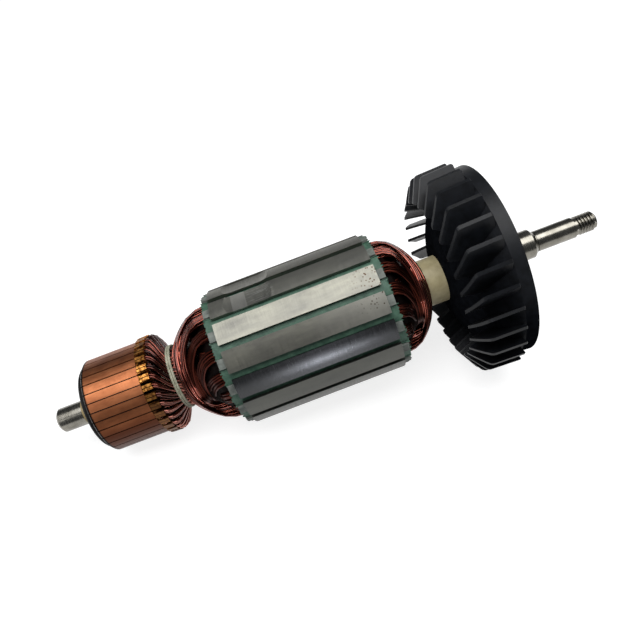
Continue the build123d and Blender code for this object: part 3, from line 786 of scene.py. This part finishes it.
def sweep(name, ways, radius, sides, material, closed):
    """Round wire of a radius in millimetres along each way, as one mesh."""
    curve = bpy.data.curves.new(name + "_ways", "CURVE")
    curve.dimensions = "3D"
    for points in ways:
        spline = curve.splines.new("POLY")
        spline.points.add(len(points) - 1)
        for target, point in zip(spline.points, points):
            target.co = (*point, 1.0)
        spline.use_cyclic_u = closed
    source = bpy.data.objects.new(name + "_ways", curve)
    bpy.context.scene.collection.objects.link(source)
    modifier = source.modifiers.new("sweep", "NODES")
    modifier.node_group = sweep_tree
    given = {item.name: item.identifier for item in sweep_tree.interface.items_tree
             if item.in_out == "INPUT"}
    modifier[given["Radius"]] = radius
    modifier[given["Sides"]] = sides
    modifier[given["Finish"]] = material
    return plain_mesh(source, name)


# %% [markdown]
# ## Enamel
#
# Winding wire is copper under a thin clear red-brown enamel. Light goes through the enamel, is
# coloured by it, and comes back from the metal, while the enamel's own skin gives a sharp paler
# glint. A rough copper base under a clear coat does the same. No two turns have quite the same
# tone, so the colour follows the number that the sweeping tree gave each wire. The turns under
# the outer pairs are painted dark as painted shade, and are rougher with no coat. Low down on the
# viewer's side a paler pair of tones is mixed into the leads as a painted highlight.

# %% Enamelled wire
def enamel(name, low, high, roughness, coat, painted_highlight_tones=None):
    """Copper wire under enamel, in tones from low to high, with a paler pair of tones low down as a
    painted highlight.
    """
    made, tree = start_finish(name)
    own_tone = add(tree, "ShaderNodeAttribute", attribute_name="tone").outputs["Fac"]
    colour = add(tree, "ShaderNodeValToRGB", (own_tone,), ((0.0, low), (1.0, high)))
    # A paler pair of tones mixed in low down: a painted highlight.
    if painted_highlight_tones:
        angle = add(tree, "ShaderNodeGroup", node_tree=measures).outputs["Angle"]
        share = add(tree, "ShaderNodeMapRange", (angle, 5.0, 40.0, 0.0, 0.75))
        pale = add(tree, "ShaderNodeValToRGB", (own_tone,), ((0.0, painted_highlight_tones[0]), (1.0, painted_highlight_tones[1])))
        colour = add(tree, "ShaderNodeMix", {"Factor": share, "A": colour, "B": pale},
                     data_type="RGBA")
    shader = add(tree, "ShaderNodeBsdfPrincipled", {
        "Base Color": colour, "Metallic": 1.0, "Roughness": roughness,
        "Coat Weight": coat, "Coat Roughness": 0.10})
    add(tree, "ShaderNodeOutputMaterial", (shader,))
    return made


wire_enamel = enamel("enamelled_winding_wire", "#3A130D", "#8A4231", 0.20, 0.7)
# The turns under the outer pairs are painted dark as painted shade.
shaded_inner_enamel = enamel("shaded_inner_winding_wire", "#1A0906", "#4E241B", 0.36, 0.0)
# The second pair of tones is a painted highlight on the low leads.
lead_enamel = enamel("enamelled_lead_wire", "#2A110C", "#6E3528", 0.26, 0.4,
                     ("#5A2A20", "#C08070"))
print("enamels", [finish.name for finish in (wire_enamel, shaded_inner_enamel, lead_enamel)])

# %% Wind the coils
WIRE_SIDES = 8
OUTER_PAIRS = 2
TURN_PASSES = 3
WINDING_SEED = 16
draw = random.Random(WINDING_SEED)
triangles = 0
for pair in range(LAYERS):
    for half in (0, 1):
        number = (2 * LAYERS - 2 - pair + LAYERS * half) % SLOTS + 1
        lowest_stack = -1 if pair == LAYERS - 1 else 0
        ways = [rounded(one_turn(pair, half, stack, 2 * lane / (LANES - 1) - 1, draw), TURN_PASSES)
                for stack in range(lowest_stack, STACKS) for lane in range(LANES)]
        finish = wire_enamel if pair >= LAYERS - OUTER_PAIRS else shaded_inner_enamel
        turns = sweep(f"turns_{number:02d}", ways, WIRE / 2, WIRE_SIDES, finish, True)
        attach(turns, "root")
        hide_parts(f"coil_{number:02d}")
        triangles += 2 * len(turns.data.polygons)
print("triangles in the turns", triangles)

# %% [markdown]
# ## The varnish and painted shade under the turns
#
# The very first turns are so soaked with varnish that they make one body. A turned dish of that
# varnish fills the hollow under the turns, so that no daylight or bare tube shows through, and it
# is coloured nearly black as painted shade in the hollow. Its outline is the dome of an inner
# layer, which sinks away from the turns towards the rim.

# %% Turn the varnish
STEPS_ROUND, STEPS_OUT = 64, 8
VARNISH_INNER, VARNISH_WIDTH = TUBE_RADIUS + 0.1, 11.5
NECK_SHARE, SHARE_LOST = 0.78, 0.55
FACE_GAP = 0.3
vertices, faces = [], []
for side in (-1, 1):
    shares = [step / STEPS_OUT for step in range(STEPS_OUT + 1)]
    radii = [VARNISH_INNER + VARNISH_WIDTH * share for share in shares]
    outline = [(dome(NECK_SHARE - SHARE_LOST * share, side, radius), radius)
               for share, radius in zip(shares, radii)]
    outline.append(((CORE_START if side < 0 else CORE_END) + side * FACE_GAP, radii[-1]))
    base = len(vertices)
    for step in range(STEPS_ROUND):
        vertices += [on_shaft(along, radius, 360 * step / STEPS_ROUND) for along, radius in outline]
    for step in range(STEPS_ROUND):
        here = base + step * len(outline)
        after = base + (step + 1) % STEPS_ROUND * len(outline)
        for number in range(len(outline) - 1):
            corners = (here + number, after + number, after + number + 1, here + number + 1)
            faces.append(corners if side < 0 else corners[::-1])
mesh = bpy.data.meshes.new("varnish_shade_fill")
mesh.from_pydata(vertices, [], faces)
mesh.transform(lay)
# Nearly black: painted shade in the hollow under the turns.
mesh.materials.append(matt_finish("varnish_painted_shade", "#060303", "#0E0604", 0.60, 2.0, 0.05,
                                  specular=0.05))
mesh.polygons.foreach_set("use_smooth", [True] * len(faces))
varnish = bpy.data.objects.new("varnish_shade_fill", mesh)
bpy.context.scene.collection.objects.link(varnish)
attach(varnish, "root")
print("faces in the varnish", len(faces))

# %% [markdown]
# ## The leads
#
# Every hook holds two wires, the end of one coil and the start of the next. They leave the hook
# with a small hump, lean round the shaft and go down to the neck, where the cord ties them. A
# second row lies under the first, so that no gap shows the tube.

# %% Leads from the hooks to the neck
HOOK_BACK = 45.1
LEAD = 0.85
BESIDE = 1.3
MEAN_LEAN, LEAN_SPREAD, HUMP_SPREAD = 24, 3.5, 0.35
UNDER_ALONG, UNDER_OUT, UNDER_BESIDE, UNDER_TURN = -0.5, -1.3, 1.4, 4
# Each point of a lead: how far past the hook's back, radius, share of the hump, share of the
# lean, and degrees more. The lower row leaves the first points out.
LEAD_WAY = (
    (-3.0, 18.75, 0, 0.0, 0), (-0.3, 18.85, 0, 0.0, 0), (0.9, 19.9, 1, 0.0, 0),
    (2.0, 19.2, 1, 0.10, 0), (3.2, 17.2, 0, 0.32, 0), (4.3, 14.6, 0, 0.66, 0),
    (5.1, 12.5, 0, 0.92, 0), (6.2, 12.15, 0, 1.0, 0), (9.4, 11.95, 0, 1.0, 6),
)
UNDER_FROM = 2
LEAD_PASSES = 1
leads = []
for number in range(BARS):
    for side in (-1, 1):
        lean = MEAN_LEAN + draw.uniform(-LEAN_SPREAD, LEAN_SPREAD)
        hump = draw.uniform(-HUMP_SPREAD, HUMP_SPREAD)
        start = BAR_ANGLE + number * BAR_PITCH + side * BESIDE
        upper = [(HOOK_BACK + past, out + humped * hump, start + leaned * lean + more)
                 for past, out, humped, leaned, more in LEAD_WAY]
        under = [(along + UNDER_ALONG, out + UNDER_OUT, turned + side * UNDER_BESIDE + UNDER_TURN)
                 for along, out, turned in upper[UNDER_FROM:]]
        for stations in (upper, under):
            points = [on_shaft(*station) for station in stations]
            leads.append(rounded(points, LEAD_PASSES, closed=False))
lead_wires = sweep("lead_wires", leads, LEAD / 2, WIRE_SIDES, lead_enamel, False)
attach(lead_wires, "root")
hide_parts("commutator_leads")
print("leads", len(leads))

# %% [markdown]
# ## The tie cord
#
# Waxed lacing cord goes twice round the neck. It is three strands twisted together, pressed flat
# by its own pull, and the varnish has turned it greenish white.

# %% Twist the cord
CORD_ALONG, CORD_OUT = 51.5, 12.9
HALF_STEP = 0.50
TWIST_ALONG, TWIST_OUT = 0.24, 0.20
STRANDS, TWISTS, CORD_STEPS = 3, 22, 240
STRAND_RADIUS, STRAND_SIDES = 0.30, 6
cord_cotton = matt_finish("varnished_lacing_cord", "#7D7D69", "#ABAA96", 0.55, 5.0, 0.03)
strands = []
for side in (-1, 1):
    for strand in range(STRANDS):
        points = []
        for step in range(CORD_STEPS):
            turned = 360 * step / CORD_STEPS
            twist = radians(strand * 360 / STRANDS + turned * TWISTS)
            points.append(on_shaft(CORD_ALONG + side * HALF_STEP + TWIST_ALONG * cos(twist),
                                   CORD_OUT + TWIST_OUT * sin(twist), turned))
        strands.append(points)
cord = sweep("lacing_cord", strands, STRAND_RADIUS, STRAND_SIDES, cord_cotton, True)
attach(cord, "root")
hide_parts("tie_cord")
print("strands", len(strands))

# %% [markdown]
# ## Slot papers
#
# Each slot is lined with a folded strip that sticks out at both ends, and a narrow strip closes
# it over the wires as a wedge. The knife and the winding leave the ends torn and splayed. Each
# strip is built as a sheet that follows a section of the slot, with its end rows pushed in and
# out at random, and Solidify gives it its thickness.

# %% Sections of the lining and the wedge
INSET = 0.06
WALL_STEPS, BOTTOM_STEPS, WEDGE_STEPS = 12, 4, 10
WEDGE_RADIUS, WEDGE_CROWN = 25.7, 0.25


def lining_section():
    """Points of (out, across) down one wall of the slot, along its bottom and up the other."""
    low, high = SLOT_BOTTOM + INSET, SLOT_TOP - INSET
    radii = [high + (low - high) * step / WALL_STEPS for step in range(WALL_STEPS)]
    down = [(radius, slot_half(radius) - INSET) for radius in radii]
    low_half = slot_half(low) - INSET
    bottom = [(low, low_half * (1 - 2 * step / BOTTOM_STEPS)) for step in range(BOTTOM_STEPS + 1)]
    return down + bottom + [(radius, -across) for radius, across in reversed(down)]


def wedge_section():
    """Points of (out, across) over a wedge that is a little crowned between the slot's walls."""
    half = slot_half(WEDGE_RADIUS) - INSET
    shares = [2 * step / WEDGE_STEPS - 1 for step in range(WEDGE_STEPS + 1)]
    return [(WEDGE_RADIUS + WEDGE_CROWN * (1 - share * share), half * share) for share in shares]


print("points", len(lining_section()), "and", len(wedge_section()))

# %% Line and close the slots
# Rows along a strip: from -1 to 0 before the core, from 1 to 2 behind it.
ROWS = (-1.0, -0.75, -0.5, -0.25, 0.0, 1.0, 1.25, 1.5, 1.75, 2.0)
MIDDLE_WIDTH = 0.1
WEDGE_OVERHANG = 3.5


def strips(name, section, overhang, tear, splay, curl, thickness):
    """One sheet in each slot, torn and bent where it sticks out, as one mesh with a thickness."""
    vertices, faces = [], []
    width = len(section)
    for slot in range(SLOTS):
        spin = Matrix.Rotation(radians(FIRST_SLOT_ANGLE + slot * PITCH), 3, "X")
        base = len(vertices)
        bend = {-1: draw.uniform(*curl), 1: draw.uniform(*curl)}
        for row in ROWS:
            side = -1 if row <= 0 else 1
            face = CORE_START if side < 0 else CORE_END
            outside = max(-row, row - 1.0, 0.0)
            for out, across in section:
                torn = draw.uniform(*tear) if outside == 1.0 else 0.0
                wall = (across > MIDDLE_WIDTH) - (across < -MIDDLE_WIDTH)
                vertices.append(spin @ Vector((face + side * (outside * overhang + torn),
                                               out + bend[side] * outside ** 2,
                                               across + wall * splay * outside ** 2)))
        for row in range(len(ROWS) - 1):
            for number in range(width - 1):
                corner = base + row * width + number
                faces.append((corner, corner + width, corner + width + 1, corner + 1))
    mesh = bpy.data.meshes.new(name)
    mesh.from_pydata(vertices, [], faces)
    mesh.transform(lay)
    mesh.materials.append(green_paper)
    made = bpy.data.objects.new(name, mesh)
    bpy.context.scene.collection.objects.link(made)
    thick = made.modifiers.new("thickness", "SOLIDIFY")
    thick.thickness = thickness / MM
    thick.offset = 0.0
    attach(made, "root")
    return made


papers = strips("slot_papers", lining_section(), LINER_OVERHANG, tear=(-0.9, 0.2), splay=0.45,
                curl=(0.0, 0.2), thickness=0.3)
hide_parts("slot_liners")
wedges = strips("wedge_strips", wedge_section(), WEDGE_OVERHANG, tear=(-1.3, 0.2), splay=0.0,
                curl=(-0.5, 0.4), thickness=0.5)
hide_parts("slot_wedges")
print("slots lined", SLOTS)

# %% [markdown]
# ## The thread
#
# The shaft's end has an M8 thread for the nut that holds the pinion. The construction model
# keeps a plain cylinder of the thread's root size there. The ridge is one strip of four corners
# wound round it, and its height falls to nothing at both ends, as a die leaves it. The corners
# are given as shares of the pitch along and of the height out.

# %% Cut the thread
THREAD_START, THREAD_END = 221.2, 229.0
THREAD_PITCH, THREAD_STEPS = 1.25, 40
ROOT, CREST = 3.42, 3.98
RUN_OUT = 0.5
END_GAP = 0.3
RIDGE = [(-0.5, 0.0), (-0.12, 1.0), (0.12, 1.0), (0.5, 0.0)]
steps = int((THREAD_END - THREAD_START) / THREAD_PITCH * THREAD_STEPS)
vertices, faces = [], []
for step in range(steps + 1):
    middle = THREAD_START + step * THREAD_PITCH / THREAD_STEPS
    fade = min(1.0, step / (THREAD_STEPS * RUN_OUT), (steps - step) / (THREAD_STEPS * RUN_OUT))
    for offset, share in RIDGE:
        along = max(middle + offset * THREAD_PITCH, THREAD_START - END_GAP)
        along = min(along, THREAD_END + END_GAP)
        vertices.append(on_shaft(along, ROOT + (CREST - ROOT) * share * fade,
                                 step * 360 / THREAD_STEPS))
width = len(RIDGE)
for step in range(steps):
    for number in range(width - 1):
        corner = step * width + number
        faces.append((corner, corner + width, corner + width + 1, corner + 1))
mesh = bpy.data.meshes.new("thread_ridge")
mesh.from_pydata(vertices, [], faces)
mesh.transform(lay)
mesh.materials.append(shaft_steel)
thread = bpy.data.objects.new("thread_ridge", mesh)
bpy.context.scene.collection.objects.link(thread)
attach(thread, "root")
print("faces in the thread", len(faces))
